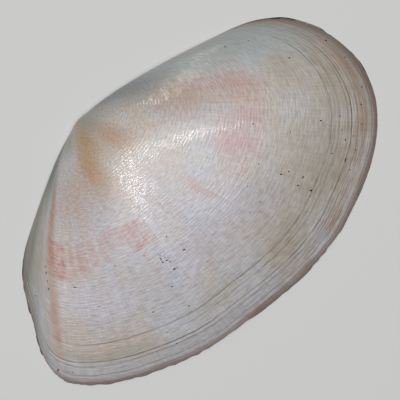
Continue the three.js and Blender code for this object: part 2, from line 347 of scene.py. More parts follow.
# The inside.
# Porcelain-smooth aragonite, thin at the edge. A plate under the hinge stands out from it,
# and the shell thickens towards the middle of the bowl.
INSIDE_ROWS = 45
WALL_THICKNESS = 1.15
EDGE_THICKNESS = 0.35
THICKENING_LENGTH = 6
PLATE_WIDTH = 2.5
PLATE_RECESS = 0.75
PLATE_SPAN = (-15, 17)
PLATE_FADE = 5
PLATE_LOWEST = -12
PLATE_RISE = 0.35
PLATE_SLOPE = 0.3
PLATE_STEP = 0.25
PAST_PLATE_SLOPE = 1.6
STEEPEST = 1.2
WALL_FOOT = 3.8
THINNEST_ROOF = 0.02
ROOF_SLOPE = 0.03
BOWL_CENTRE = Vector((0, -20, 0))
RIM_SHARE = 0.35
BOWL_CROWDING = 1.3
BARE_ROWS = 60
WELL_ABOVE = 50

bare = bmesh.new()
bmesh.ops.create_grid(bare, x_segments=COLUMN_COUNT, y_segments=BARE_ROWS, size=0.5)
for v in bare.verts:
    i = round((v.co.x + 0.5) * COLUMN_COUNT) % COLUMN_COUNT
    v.co = grown_point(i, SMALLEST_EDGE ** (v.co.y + 0.5))
bare_outside = BVHTree.FromBMesh(bare)
bare.free()


def roof_height(point, distance):
    """Height of the inside at a distance from the edge: the bare outside less the wall."""
    wall = mix(EDGE_THICKNESS, WALL_THICKNESS, 1 - math.exp(-distance / THICKENING_LENGTH))
    hit = bare_outside.ray_cast(Vector((point.x, point.y, WELL_ABOVE)), Vector((0, 0, -1)))[0]
    above = hit.z if hit else 0
    return max(above - wall, THINNEST_ROOF + ROOF_SLOPE * distance)


def plate_share(edge_point):
    """Share of the hinge plate: one under the beak, none past its ends."""
    if edge_point.y < PLATE_LOWEST:
        return 0
    front = ease((PLATE_SPAN[1] + PLATE_FADE - edge_point.x) / PLATE_FADE)
    rear = ease((edge_point.x - PLATE_SPAN[0] + PLATE_FADE) / PLATE_FADE)
    return front * rear


def inside_point(i, row):
    foot = edge[i].to_3d()
    run = edge_run(i)
    square = Vector((run.y, -run.x, 0)).normalized()
    inward = (square + (BOWL_CENTRE - foot).normalized()).normalized()
    share = plate_share(edge[i])
    rim = bites[i] + EDGE_THICKNESS
    wall_foot = mix(WALL_FOOT, PLATE_WIDTH + PLATE_RISE, share)
    t = row / INSIDE_ROWS
    if t < RIM_SHARE:
        distance = mix(rim, wall_foot, t / RIM_SHARE)
        point = foot + inward * distance
    else:
        down_bowl = ((t - RIM_SHARE) / (1 - RIM_SHARE)) ** BOWL_CROWDING
        point = (foot + inward * wall_foot).lerp(BOWL_CENTRE, down_bowl)
        distance = (point - foot).length
    roof = roof_height(point, distance)
    free = min(roof, (distance - rim) * STEEPEST)
    past_plate = max(0, distance - mix(PLATE_WIDTH, PLATE_WIDTH + PLATE_RISE, 0.5))
    plate = PLATE_RECESS * ease((distance - rim) / PLATE_STEP) + past_plate * PAST_PLATE_SLOPE
    plate = min(plate + PLATE_RISE * PLATE_SLOPE * distance / PLATE_WIDTH, roof)
    point.z = max(0, mix(free, plate, share))
    return point, 1 - t, 0


INSIDE_SLOT = 1
outside_faces = set(valve.faces)
wrapped_grid(INSIDE_ROWS, inside_point)
for face in set(valve.faces) - outside_faces:
    face.material_index = INSIDE_SLOT
bmesh.ops.bridge_loops(valve, edges=[e for e in valve.edges if e.is_boundary])
bmesh.ops.recalc_face_normals(valve, faces=valve.faces[:])


# The hinge teeth of a right valve.
# Solid with the hinge plate: two small teeth under the beak, the rear one split in two,
# and a long low one at each side.
TEETH = [
    dict(at=(0.9, -3.0), length=1.9, width=0.55, turn=-62, top=0.15),
    dict(at=(-0.55, -3.0), length=1.8, width=0.42, turn=-96, top=0.15),
    dict(at=(-1.35, -2.95), length=1.8, width=0.42, turn=-112, top=0.15),
    dict(at=(8.8, -6.35), length=3.2, width=0.6, turn=-19, top=0.2),
    dict(at=(-10.2, -4.15), length=3.0, width=0.6, turn=11, top=0.2),
]
TOOTH_FOOT = 1.3
TOOTH_TAPER = (0.7, 0.45, 1)
TOOTH_ROUNDING = 0.45
TOOTH_SEGMENTS = 4
CREST_SHARE = 0.9

for tooth in TEETH:
    height = TOOTH_FOOT - tooth["top"]
    block = bmesh.ops.create_cube(valve, size=1)["verts"]
    for v in block:
        v[size_layer] = 1
    bmesh.ops.scale(valve, verts=[v for v in block if v.co.z < 0], vec=TOOTH_TAPER)
    bmesh.ops.scale(valve, verts=block, vec=(tooth["length"], tooth["width"], height))
    faces = {f for v in block for f in v.link_faces}
    for face in faces:
        face.material_index = INSIDE_SLOT
    all_edges = {e for v in block for e in v.link_edges}
    crest = [e for e in all_edges if sum(v.co.z for v in e.verts) < height * CREST_SHARE]
    rounding = tooth["width"] * TOOTH_ROUNDING * TOOTH_TAPER[1]
    rounded = bmesh.ops.bevel(valve, geom=crest, offset=rounding, segments=TOOTH_SEGMENTS,
                              profile=0.5, affect="EDGES", material=-1, clamp_overlap=True)
    whole = {v for f in faces if f.is_valid for v in f.verts} | set(rounded["verts"])
    middle = Matrix.Translation((*tooth["at"], tooth["top"] + height / 2))
    turned = Matrix.Rotation(math.radians(tooth["turn"]), 4, "Z")
    bmesh.ops.transform(valve, matrix=middle @ turned, verts=list(whole))


# The finished valve.
# One mesh in metres at its place in the frame: the outside, the inside and the teeth. Its
# height is drawn in a little, so that its ridges stay inside the plain solid's box.
STAYS_UNDER = 0.994
bmesh.ops.translate(valve, verts=valve.verts, vec=BEAK_TIP)
bmesh.ops.scale(valve, verts=valve.verts, vec=(MM, MM, MM * STAYS_UNDER))
finished_valve = BVHTree.FromBMesh(valve)
mesh = bpy.data.meshes.new("right_valve_fine")
valve.to_mesh(mesh)
valve.free()
for face in mesh.polygons:
    face.use_smooth = True
shell = bpy.data.objects.new("valve", mesh)
bpy.context.collection.objects.link(shell)


def linear(hex_colour):
    """Linear colour of an sRGB hex value."""
    parts = [int(hex_colour[k:k + 2], 16) / 255 for k in (1, 3, 5)]
    return tuple(c / 12.92 if c <= 0.04045 else ((c + 0.055) / 1.055) ** 2.4 for c in parts) + (1,)


def add(material, kind, values=None, **settings):
    """Adds a node; settings are its own, and values go to its sockets, as numbers or as links."""
    node = material.node_tree.nodes.new(kind)
    for name, setting in settings.items():
        setattr(node, name, setting)
    for socket, value in (values or {}).items():
        if isinstance(value, bpy.types.NodeSocket):
            material.node_tree.links.new(value, node.inputs[socket])
        else:
            node.inputs[socket].default_value = value
    return node


# Aragonite, growth-laid, silky: the flat ridges catch the light in fine streaks, the
# colour runs in rays and in bands along old edges, and it stays duller than the inside.
# Places on the shell are a ray, in degrees from the rear, and a size.
SILKY_ROUGHNESS = 0.46
ROUGHNESS_SPREAD = 0.06
SILKY_SPECULAR = 0.45
ARAGONITE_IOR = 1.63
POLISH = 0.5                # thin clear outer layer, smoother than what is below it
POLISH_ROUGHNESS = 0.10
PALE = "#D2D6DE"
CREAM = "#D3CAC2"
STAINS = [                  # colour, strength, ray and size of the middle, half ray, half size
    # The two dark grey-brown stains at the beak, first below, and the grey one on the rear slope, last,
    # are partly the shell's own colour and partly painted shade.
    ("#8E8779", 0.75, 110, 0.05, 90, 0.16), ("#857D71", 0.60, 44, 0.08, 24, 0.13),
    ("#BC9C70", 0.80, 76, 0.14, 22, 0.14), ("#C49A74", 0.80, 67, 0.24, 14, 0.14),
    ("#C09A7C", 0.70, 101, 0.20, 18, 0.12), ("#C5A88F", 0.45, 74, 0.33, 18, 0.10),
    ("#C39E8C", 0.45, 50, 0.32, 22, 0.18), ("#C5A590", 0.45, 134, 0.38, 12, 0.22),
    ("#C8A39A", 0.40, 138, 0.57, 5, 0.13), ("#CFA6A6", 0.45, 128, 0.57, 4, 0.08),
    ("#BFAE98", 0.50, 141, 0.75, 9, 0.12), ("#B2AA97", 0.50, 138, 0.86, 12, 0.08),
    ("#B0A696", 0.55, 121, 0.85, 14, 0.09), ("#B6AB99", 0.50, 100, 0.85, 13, 0.08),
    ("#BAB7AB", 0.45, 76, 0.84, 14, 0.07), ("#A3A79D", 0.50, 45, 0.895, 24, 0.04),
    ("#DCE1F0", 0.70, 75, 0.66, 8, 0.20), ("#DADFEE", 0.65, 96, 0.62, 14, 0.14),
    ("#DCE1F0", 0.75, 48, 0.69, 18, 0.11), ("#C0C4D2", 0.50, 107, 0.70, 9, 0.10),
    ("#C07E6C", 0.75, 81.5, 0.980, 3.5, 0.03), ("#C49474", 0.70, 32.6, 0.37, 3.6, 0.27),
    ("#C8967C", 0.60, 34.2, 0.76, 2.4, 0.26), ("#C07E66", 0.75, 156, 0.955, 8, 0.04),
    ("#D3B2B6", 0.55, 120, 0.55, 14, 0.11), ("#D2B6AC", 0.45, 138, 0.50, 8, 0.16),
    ("#CBD3E8", 0.60, 104, 0.50, 6, 0.07), ("#CBD3E8", 0.60, 87, 0.58, 5, 0.09),
    ("#8C8C84", 0.55, 24, 0.26, 7, 0.22),
]
MARKS = [                   # crisp: colour, strength, ray and size of the middle, half ray and size
    ("#C97C7A", 0.85, 35.9, 0.534, 3.7, 0.068), ("#CF9797", 0.60, 42.2, 0.53, 1.2, 0.06),
    ("#CF9797", 0.65, 46.8, 0.525, 2.2, 0.058), ("#CF9C9A", 0.55, 51.5, 0.515, 1.5, 0.05),
    ("#CF9C9A", 0.50, 55.6, 0.51, 1.6, 0.045), ("#CA9494", 0.65, 61.0, 0.485, 3.6, 0.034),
    ("#C98A88", 0.75, 68.4, 0.508, 4.0, 0.050), ("#CFA09E", 0.45, 73.0, 0.530, 1.2, 0.05),
    ("#C99688", 0.50, 98.9, 0.515, 1.1, 0.070), ("#CEA29E", 0.45, 86.8, 0.50, 1.0, 0.06),
    ("#CEA29E", 0.40, 83.5, 0.47, 0.9, 0.05), ("#DAD8DA", 0.50, 130.5, 0.58, 1.1, 0.16),
    ("#D2D0D0", 0.40, 133, 0.74, 1.4, 0.12), ("#CDA3A0", 0.35, 117.5, 0.565, 1.6, 0.05),
    ("#A87A52", 0.55, 124, 0.925, 4.5, 0.012), ("#AA7C50", 0.50, 127.5, 0.955, 5, 0.008),
    ("#AE8860", 0.40, 117, 0.905, 4, 0.012), ("#B08C64", 0.40, 131, 0.94, 5, 0.006),
]
LINES = [                   # where growth rested: colour, strength, size, first and last ray
    ("#6F6250", 0.50, 0.840, 16, 176), ("#8C7A68", 0.30, 0.866, 60, 176),
    ("#8A7158", 0.40, 0.893, 92, 172), ("#5E5642", 0.65, 0.907, 12, 178),
    ("#80694E", 0.40, 0.921, 14, 110), ("#7E6450", 0.50, 0.928, 96, 174),
    ("#94653F", 0.70, 0.945, 92, 152), ("#7F6A5A", 0.40, 0.957, 20, 176),
    ("#705C54", 0.55, 0.975, 50, 176), ("#A08A78", 0.30, 0.853, 96, 160),
    ("#A08C80", 0.25, 0.765, 24, 170), ("#8E5E3E", 0.55, 0.951, 96, 152),
    ("#9A7358", 0.40, 0.936, 88, 146), ("#8A6A5C", 0.40, 0.984, 30, 176),
    ("#80665C", 0.45, 0.991, 60, 176), ("#B0684E", 0.55, 0.967, 142, 164),
    ("#B0704E", 0.35, 0.979, 76, 90),
]
LINE_WIDTH = 0.0026
LINE_STRENGTH = 1.4
LINE_SHIFT = 0.002
LINE_SWERVE = 0.004
LINE_CORE = 0.3
LINE_ENDS = 8               # degrees of ray over which a line fades out

# Washes of colour, each with how thickly it is laid on.
# The grey and olive washes on the hinge side, the rear end and the beak's sides are partly the shell's
# own colour and partly painted shade where these slopes turn from the light.
SLOPE_GREY_AND_SHADE = ("#98A7A9", 0.74)
REAR_OLIVE_AND_SHADE = ("#7F857A", 0.85)
BEAK_GREY_AND_SHADE = ("#717D7E", 0.7)
STREAK_PINK = ("#D8BCBC", 0.45)
STREAK_BLUE = ("#CCD5E8", 0.35)
BAND_PINK = ("#CF9C9C", 0.45)
RAY_PINK = ("#CF9C9C", 0.25)
OUTER_WHITE = ("#B8BBC3", 0.6)
FRONT_CREAM = ("#B3ADA2", 0.6)
# The rim darks are partly the brown edge band and partly painted shade on the rolled rim.
RIM_BROWN_AND_SHADE = ("#80665E", 0.85)
REAR_RIM_DARK_AND_SHADE = ("#6C6560", 0.85)
HINGE_RIM_DARK_AND_SHADE = ("#6C6560", 0.6)
BROAD_BROWN = ("#8F765E", 0.15)
THIN_BROWN = ("#8F765E", 0.7)
# Painted shade in the grooves between the fine ridges.
STRIA_GROOVE_PAINTED_SHADE = ("#6E5A48", 0.06)
STRIA_PINK = ("#C08C84", 0.28)
REST_BROWN = ("#6E5A48", 0.2)
# Painted shade for the fine weave of grain, rays and lines on the outside.
GRAIN_PAINTED_SHADE = ("#6E5A48", 0.13)
RAY_WEAVE_PAINTED_SHADE = ("#6E5A48", 0.12)
LINE_WEAVE_PAINTED_SHADE = ("#6E5A48", 0.31)

# Noise on the shell: how many blotches to a degree and from beak to edge, the values that
# turn to 0 and 1, seed and detail. The edge stands 42 mm from the beak, so 42 blotches are
# 1 mm apart, and the growth lines of 0.1 mm and less are drawn 0.2 to 0.4 mm apart to show.
RAYS_WIDE = (0.30, 1.6, 0.42, 0.60, 11)
RAYS_FINE = (1.3, 3.0, 0.35, 0.65, 23)
LINES_WIDE = (0.035, 42, 0.42, 0.62, 31, 5)
LINES_FINE = (0.12, 170, 0.35, 0.65, 47)
LINES_THIN = (0.06, 130, 0.52, 0.66, 59, 5)
CLUMPS = (0.4, 30, 0.36, 0.56, 113)
BROKEN = (0.09, 16, 0.38, 0.58, 67)
SWERVE = (0.12, 0, 0.3, 0.7, 71)
PATCHES = (0.04, 9, 0.35, 0.65, 53)
FINE_RIDGES = (0.12, 115, 0.3, 0.7, 107, 0)
GRAIN = (0.3, 140, 0.3, 0.7, 83, 0)
RAY_WEAVE = (2.4, 9, 0.4, 0.62, 97, 2)
LINE_WEAVE = (0.4, 220, 0.42, 0.62, 101, 2)
WANDER_PER_METRE = 130      # edges of stains wander over about 8 mm
WANDER_DETAIL = 4
STAIN_WANDER = (5, 0.08, 0)
MARK_WANDER = (2, 0.03, 0)
MOTTLE_PER_METRE = 90       # soft blotches about 11 mm wide
MOTTLE_DETAIL = 6
MOTTLE_ROUGHNESS = 0.65
MOTTLE_RANGE = (0.38, 0.62)
NOISE_ROUGHNESS = 0.6
STAIN_CORE = 0.1
MARK_ACROSS = (1.25, 0.75)
MARK_ALONG = (1.12, 0.88)
WORN_LINES = (0.9, 0.2)     # share that comes and goes, and share that is always there
WORN_RAYS = (0.5, 0.65)
CLUMPED = (0.75, 0.45)
BROKEN_UP = (0.6, 0.4)
GROOVE_FROM = 0.2

# Depth of the lines and grain in the polish, next to the modelled ridges: a few thousandths
# of a millimetre, coarser than on the real shell, to break the highlights into glints.
POLISH_RELIEF = 0.0000052
STRIA_DEPTH = -0.6
GRAIN_DEPTH = 0.5
GLINT_GRAIN_DEPTH = 0.9

silky = bpy.data.materials.new("aragonite, growth-laid, silky")
silky.use_nodes = True
silky.node_tree.nodes.clear()
ray_here = add(silky, "ShaderNodeAttribute", attribute_name="ray").outputs["Fac"]
size_here = add(silky, "ShaderNodeAttribute", attribute_name="size").outputs["Fac"]
groove_here = add(silky, "ShaderNodeAttribute", attribute_name="groove").outputs["Fac"]
on_shell = add(silky, "ShaderNodeCombineXYZ", {"X": ray_here, "Y": size_here}).outputs[0]
in_space = add(silky, "ShaderNodeTexCoord").outputs["Object"]


def growth_noise(per_degree, per_size, low, high, seed, detail=3):
    """Noise from 0 to 1, stretched along the rays or along the old edges."""
    stretched = add(silky, "ShaderNodeVectorMath",
                    {0: on_shell, 1: (per_degree, per_size, 0), 2: (seed, seed, seed)},
                    operation="MULTIPLY_ADD").outputs[0]
    blotches = add(silky, "ShaderNodeTexNoise", {
        "Vector": stretched, "Scale": 1, "Detail": detail, "Roughness": NOISE_ROUGHNESS}).outputs[0]
    return add(silky, "ShaderNodeMapRange", {
        "Value": blotches, "From Min": low, "From Max": high}).outputs[0]


def between(place, start, full, until, none):
    """One from full to until, fading to nothing at start and at none."""
    rise = add(silky, "ShaderNodeMapRange", {"Value": place, "From Min": start, "From Max": full},
               interpolation_type="SMOOTHSTEP").outputs[0]
    fall = add(silky, "ShaderNodeMapRange", {"Value": place, "From Min": none, "From Max": until},
               interpolation_type="SMOOTHSTEP").outputs[0]
    return add(silky, "ShaderNodeMath", {0: rise, 1: fall}, operation="MULTIPLY").outputs[0]


def rays_between(*fades):
    """A mask over a span of rays."""
    return between(ray_here, *fades)


def sizes_between(*fades):
    """A mask over a span of old edges."""
    return between(size_here, *fades)


def times(*factors):
    """Product of masks and numbers."""
    product = factors[0]
    for factor in factors[1:]:
        product = add(silky, "ShaderNodeMath", {0: product, 1: factor}, operation="MULTIPLY").outputs[0]
    return product


def laid_over(below, colour, share):
    """A colour laid over the one below it, as thickly as share says."""
    return add(silky, "ShaderNodeMix", {0: share, 6: below, 7: linear(colour)},
               data_type="RGBA").outputs[2]


def wash(below, paint, *masks):
    """A wash of colour laid over the one below it, where its masks are."""
    hex_colour, thickness = paint
    return laid_over(below, hex_colour, times(*masks, thickness))


wander = add(silky, "ShaderNodeTexNoise", {
    "Vector": in_space, "Scale": WANDER_PER_METRE, "Detail": WANDER_DETAIL}).outputs["Color"]
wander = add(silky, "ShaderNodeVectorMath", {0: wander, 1: (0.5, 0.5, 0.5)},
             operation="SUBTRACT").outputs[0]
wandered = add(silky, "ShaderNodeVectorMath", {0: wander, 1: STAIN_WANDER, 2: on_shell},
               operation="MULTIPLY_ADD").outputs[0]
wavered = add(silky, "ShaderNodeVectorMath", {0: wander, 1: MARK_WANDER, 2: on_shell},
              operation="MULTIPLY_ADD").outputs[0]
mottle = add(silky, "ShaderNodeTexNoise", {
    "Vector": in_space, "Scale": MOTTLE_PER_METRE, "Detail": MOTTLE_DETAIL,
    "Roughness": MOTTLE_ROUGHNESS}).outputs[0]
mottle = add(silky, "ShaderNodeMapRange", {
    "Value": mottle, "From Min": MOTTLE_RANGE[0], "From Max": MOTTLE_RANGE[1]}).outputs[0]
rays_fine = growth_noise(*RAYS_FINE)
lines_fine = growth_noise(*LINES_FINE)
worn_lines = add(silky, "ShaderNodeMath", {0: lines_fine, 1: WORN_LINES[0], 2: WORN_LINES[1]},
                 operation="MULTIPLY_ADD").outputs[0]
worn_rays = add(silky, "ShaderNodeMath", {0: rays_fine, 1: WORN_RAYS[0], 2: WORN_RAYS[1]},
                operation="MULTIPLY_ADD").outputs[0]
clumps = add(silky, "ShaderNodeMath", {0: growth_noise(*CLUMPS), 1: CLUMPED[0], 2: CLUMPED[1]},
             operation="MULTIPLY_ADD").outputs[0]
broken = add(silky, "ShaderNodeMath", {0: growth_noise(*BROKEN), 1: BROKEN_UP[0], 2: BROKEN_UP[1]},
             operation="MULTIPLY_ADD").outputs[0]

# Stains: soft ovals of colour on the pale ground.
colour = add(silky, "ShaderNodeMix", {0: mottle, 6: linear(PALE), 7: linear(CREAM)},
             data_type="RGBA").outputs[2]
for paint, strength, ray, size, half_ray, half_size in STAINS:
    offset = add(silky, "ShaderNodeVectorMath", {0: wandered, 1: (ray, size, 0)},
                 operation="SUBTRACT").outputs[0]
    offset = add(silky, "ShaderNodeVectorMath", {0: offset, 1: (1 / half_ray, 1 / half_size, 0)},
                 operation="MULTIPLY").outputs[0]
    away = add(silky, "ShaderNodeVectorMath", {0: offset}, operation="LENGTH").outputs["Value"]
    share = add(silky, "ShaderNodeMapRange", {
        "Value": away, "From Min": 1, "From Max": STAIN_CORE, "To Max": strength},
        interpolation_type="SMOOTHSTEP").outputs[0]
    colour = laid_over(colour, paint, share)

# Washes over whole regions: the hinge side, the rear end and the beak's sides greyer and darker, partly
# their own colour and partly painted shade on these steep slopes; and the streaked middle.
colour = wash(colour, SLOPE_GREY_AND_SHADE, rays_between(136, 154, 190, 200))
colour = wash(colour, REAR_OLIVE_AND_SHADE, rays_between(-20, -10, 20, 31))
beak_sides = add(silky, "ShaderNodeMath", {
    0: rays_between(-20, -10, 24, 42), 1: rays_between(118, 150, 190, 200)}, operation="ADD").outputs[0]
colour = wash(colour, BEAK_GREY_AND_SHADE, sizes_between(-1, 0, 0.2, 0.5), beak_sides)
streaked = times(sizes_between(0.25, 0.4, 0.66, 0.82), rays_between(36, 50, 100, 112))
colour = wash(colour, STREAK_PINK, streaked, rays_fine)
colour = wash(colour, STREAK_BLUE, streaked, growth_noise(*RAYS_WIDE))

# Marks: pink blocks and thin rays with crisp edges, worn into lines.
for paint, strength, ray, size, half_ray, half_size in MARKS:
    offset = add(silky, "ShaderNodeVectorMath", {0: wavered, 1: (ray, size, 0)},
                 operation="SUBTRACT").outputs[0]
    offset = add(silky, "ShaderNodeVectorMath", {0: offset}, operation="ABSOLUTE").outputs[0]
    offset = add(silky, "ShaderNodeSeparateXYZ", {0: offset})
    across = add(silky, "ShaderNodeMapRange", {
        "Value": offset.outputs[0], "From Min": half_ray * MARK_ACROSS[0],
        "From Max": half_ray * MARK_ACROSS[1]}, interpolation_type="SMOOTHSTEP").outputs[0]
    along = add(silky, "ShaderNodeMapRange", {
        "Value": offset.outputs[1], "From Min": half_size * MARK_ALONG[0],
        "From Max": half_size * MARK_ALONG[1]}, interpolation_type="SMOOTHSTEP").outputs[0]
    colour = laid_over(colour, paint, times(across, along, worn_lines, worn_rays, clumps, strength))
front_band = times(sizes_between(0.49, 0.56, 0.61, 0.64), rays_between(100, 108, 138, 145))
colour = wash(colour, BAND_PINK, front_band, rays_fine, worn_lines)
front_rays = times(sizes_between(0.25, 0.36, 0.58, 0.68), rays_between(112, 120, 140, 147))
colour = wash(colour, RAY_PINK, front_rays, rays_fine)

# The outer bands, and the rim darkened all round: partly its own brown edge band and partly painted shade
# where the rim rolls away from the light.
outer_rear = times(sizes_between(0.905, 0.93, 0.972, 0.985), rays_between(-20, -10, 80, 112))
colour = wash(colour, OUTER_WHITE, outer_rear)
outer_front = times(sizes_between(0.62, 0.84, 0.965, 0.99), rays_between(84, 108, 140, 152))
colour = wash(colour, FRONT_CREAM, outer_front, mottle)
colour = wash(colour, RIM_BROWN_AND_SHADE, sizes_between(0.96, 0.995, 1.1, 1.2))
rear_rim = times(sizes_between(0.84, 0.99, 1.1, 1.2), rays_between(-20, -10, 22, 33))
colour = wash(colour, REAR_RIM_DARK_AND_SHADE, rear_rim)
hinge_rim = times(sizes_between(0.9, 0.985, 1.1, 1.2), rays_between(118, 150, 190, 200))
colour = wash(colour, HINGE_RIM_DARK_AND_SHADE, hinge_rim)

# Brown lines along old edges.
brown_zone = times(sizes_between(0.8, 0.9, 0.97, 1.0), rays_between(70, 96, 160, 176))
colour = wash(colour, BROAD_BROWN, brown_zone, growth_noise(*LINES_WIDE))
colour = wash(colour, THIN_BROWN, brown_zone, growth_noise(*LINES_THIN), broken)
swerved = add(silky, "ShaderNodeMath", {0: growth_noise(*SWERVE), 1: LINE_SWERVE, 2: size_here},
              operation="MULTIPLY_ADD").outputs[0]
for paint, strength, size, first_ray, last_ray in LINES:
    offset = add(silky, "ShaderNodeMath", {0: swerved, 1: size + LINE_SHIFT},
                 operation="SUBTRACT").outputs[0]
    offset = add(silky, "ShaderNodeMath", {0: offset}, operation="ABSOLUTE").outputs[0]
    line = add(silky, "ShaderNodeMapRange", {
        "Value": offset, "From Min": LINE_WIDTH, "From Max": LINE_WIDTH * LINE_CORE}).outputs[0]
    spread = rays_between(first_ray, first_ray + LINE_ENDS, last_ray - LINE_ENDS, last_ray)
    colour = laid_over(colour, paint, times(line, spread, broken, strength * LINE_STRENGTH))

# Painted shade in the grooves between the modelled ridges, pink in them at the rear, darker along the
# growth-rest grooves as deep as they are cut, and painted shade for the fine weave of grain, rays and
# lines.
stria_wave = add(silky, "ShaderNodeMath", {0: size_here, 1: 2 * math.pi * STRIAE},
                 operation="MULTIPLY").outputs[0]
stria_wave = add(silky, "ShaderNodeMath", {0: stria_wave}, operation="COSINE").outputs[0]
stria_groove = add(silky, "ShaderNodeMapRange", {
    "Value": stria_wave, "From Min": GROOVE_FROM, "From Max": 1}).outputs[0]
# Painted shade in the stria grooves.
colour = wash(colour, STRIA_GROOVE_PAINTED_SHADE, stria_groove, growth_noise(*PATCHES))
rear_part = times(rays_between(28, 33, 46, 62), sizes_between(0.45, 0.6, 0.89, 0.91))
colour = wash(colour, STRIA_PINK, stria_groove, rear_part)
colour = wash(colour, REST_BROWN, groove_here)
grain = growth_noise(*GRAIN)
# Painted shade of the fine weave of grain, rays and lines.
colour = wash(colour, GRAIN_PAINTED_SHADE, grain)
colour = wash(colour, RAY_WEAVE_PAINTED_SHADE, growth_noise(*RAY_WEAVE))
colour = wash(colour, LINE_WEAVE_PAINTED_SHADE, growth_noise(*LINE_WEAVE))

# The polish is broken most where the glints are, between the beak and the middle.
glinting = times(sizes_between(0.16, 0.26, 0.5, 0.66), rays_between(60, 72, 155, 168))
height = add(silky, "ShaderNodeMath", {
    0: times(stria_wave, glinting), 1: STRIA_DEPTH, 2: growth_noise(*FINE_RIDGES)},
    operation="MULTIPLY_ADD").outputs[0]
grain_depth = add(silky, "ShaderNodeMath", {0: glinting, 1: GLINT_GRAIN_DEPTH, 2: GRAIN_DEPTH},
                  operation="MULTIPLY_ADD").outputs[0]
height = add(silky, "ShaderNodeMath", {0: grain, 1: grain_depth, 2: height},
             operation="MULTIPLY_ADD").outputs[0]
raised = add(silky, "ShaderNodeBump", {
    "Height": height, "Strength": 1, "Distance": POLISH_RELIEF}).outputs[0]
dull = add(silky, "ShaderNodeMapRange", {
    "Value": lines_fine, "To Min": SILKY_ROUGHNESS - ROUGHNESS_SPREAD,
    "To Max": SILKY_ROUGHNESS + ROUGHNESS_SPREAD}).outputs[0]
surface = add(silky, "ShaderNodeBsdfPrincipled", {
    "Base Color": colour, "Roughness": dull, "IOR": ARAGONITE_IOR,
    "Specular IOR Level": SILKY_SPECULAR, "Normal": raised, "Coat Weight": POLISH,
    "Coat Roughness": POLISH_ROUGHNESS, "Coat Normal": raised})
add(silky, "ShaderNodeOutputMaterial", {"Surface": surface.outputs[0]})

# Aragonite, porcelain-smooth: white and glossy inside, faintly yellow in the middle and
# faintly rayed, with the duller line and scars where the soft body and its muscles held on.
WHITE = "#E6E0D8"
WARM_MIDDLE = "#E6CFA8"
WARM_SHARE = 0.6
WARM_FROM = (0.62, 0.1)
INSIDE_PINK = "#DDBDB4"
PINK_RANGE = (0.5, 0.75)
PINK_SHARE = 0.4
INSIDE_RAYS = (20, 25, 40)
SCAR_GREY = "#D3D0CB"
SCAR_SHARE = 0.5
SCAR_EDGE = (1.06, 0.8)
PORCELAIN_ROUGHNESS = 0.2
SCAR_ROUGHNESS = 0.36
BODY_LINE = (0.476, 0.486, 0.498, 0.508)
LINE_HEIGHTS = (0.002, -0.001)
SCARS = [                   # x and y of the middle, half width and half height, in metres
    (0.0225, 0.0035, 0.0040, 0.0065), (-0.0205, 0.0045, 0.0046, 0.0044),
]

porcelain = bpy.data.materials.new("aragonite, porcelain-smooth")
porcelain.use_nodes = True
porcelain.node_tree.nodes.clear()
depth = add(porcelain, "ShaderNodeAttribute", attribute_name="size").outputs["Fac"]
place = add(porcelain, "ShaderNodeTexCoord").outputs["Object"]
deep = add(porcelain, "ShaderNodeMapRange", {
    "Value": depth, "From Min": WARM_FROM[0], "From Max": WARM_FROM[1], "To Max": WARM_SHARE},
    interpolation_type="SMOOTHSTEP").outputs[0]
colour = add(porcelain, "ShaderNodeMix", {0: deep, 6: linear(WHITE), 7: linear(WARM_MIDDLE)},
             data_type="RGBA").outputs[2]

from_beak = add(porcelain, "ShaderNodeVectorMath", {0: place, 1: BEAK_TIP * MM},
                operation="SUBTRACT").outputs[0]
away = add(porcelain, "ShaderNodeVectorMath", {0: from_beak}, operation="LENGTH").outputs["Value"]
from_beak = add(porcelain, "ShaderNodeSeparateXYZ", {0: from_beak})
turn = add(porcelain, "ShaderNodeMath", {0: from_beak.outputs[0], 1: from_beak.outputs[1]},
           operation="ARCTAN2").outputs[0]
turn = add(porcelain, "ShaderNodeMath", {0: turn}, operation="ABSOLUTE").outputs[0]
streaks = add(porcelain, "ShaderNodeCombineXYZ", {
    "X": turn, "Y": away, "Z": from_beak.outputs[0]}).outputs[0]
streaks = add(porcelain, "ShaderNodeVectorMath", {0: streaks, 1: INSIDE_RAYS},
              operation="MULTIPLY").outputs[0]
streaks = add(porcelain, "ShaderNodeTexNoise", {
    "Vector": streaks, "Scale": 1, "Detail": 3}).outputs[0]
streaks = add(porcelain, "ShaderNodeMapRange", {
    "Value": streaks, "From Min": PINK_RANGE[0], "From Max": PINK_RANGE[1],
    "To Max": PINK_SHARE}).outputs[0]
colour = add(porcelain, "ShaderNodeMix", {0: streaks, 6: colour, 7: linear(INSIDE_PINK)},
             data_type="RGBA").outputs[2]

